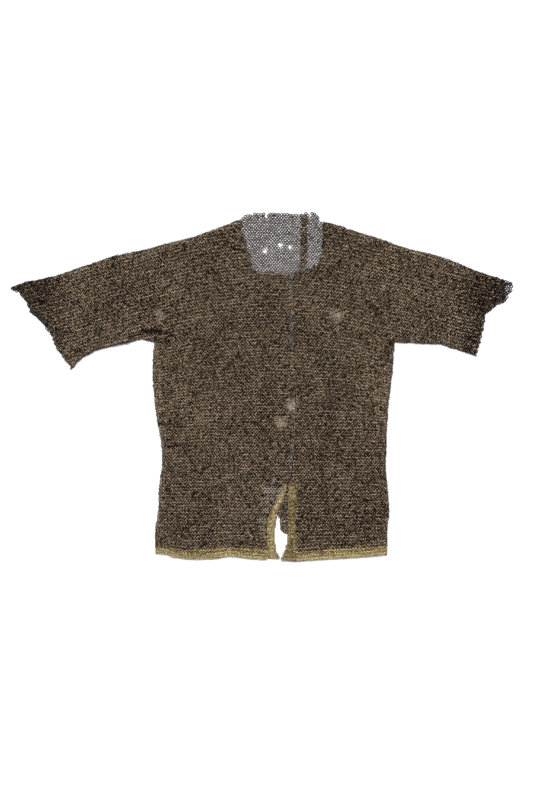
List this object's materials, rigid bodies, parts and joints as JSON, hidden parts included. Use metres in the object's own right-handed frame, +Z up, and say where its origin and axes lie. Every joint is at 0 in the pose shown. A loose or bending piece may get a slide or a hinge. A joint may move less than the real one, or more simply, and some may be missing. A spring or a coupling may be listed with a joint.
{
  "type": "mail shirt",
  "caption": "Shirt of linked iron rings with short sleeves, a closed front, a front slit and brass ring borders at the hem, laid flat on its back.",
  "frame": {"origin": "middle of the bounding box of the laid-out shirt, on the surface that it lies on", "axes": "+X towards the wearer's left sleeve, +Y towards the neck, +Z up from the surface, out of the front of the shirt"},
  "size_m": [1.1076, 0.7696, 0.0117],
  "materials": {
    "iron_mail": "dark brown patina on round iron wire, worn bright on the rings' high sides",
    "pale_iron": "pale grey steel rings with little patina",
    "brass_mail": "aged golden brass with some coppery rings"
  },
  "bodies": {
    "root": {"back_panel": "iron_mail", "front_right_panel": "iron_mail", "front_left_panel": "iron_mail", "closure_strip": "pale_iron", "sleeve_right_front": "iron_mail", "sleeve_right_back": "iron_mail", "sleeve_left_front": "iron_mail", "sleeve_left_back": "iron_mail", "hem_border_front_right": "brass_mail", "hem_border_front_left": "brass_mail", "hem_border_back_right": "brass_mail", "hem_border_back_left": "brass_mail", "slit_border_right": "brass_mail", "slit_border_left": "brass_mail", "neck_fold": "iron_mail"}
  },
  "joints": []
}
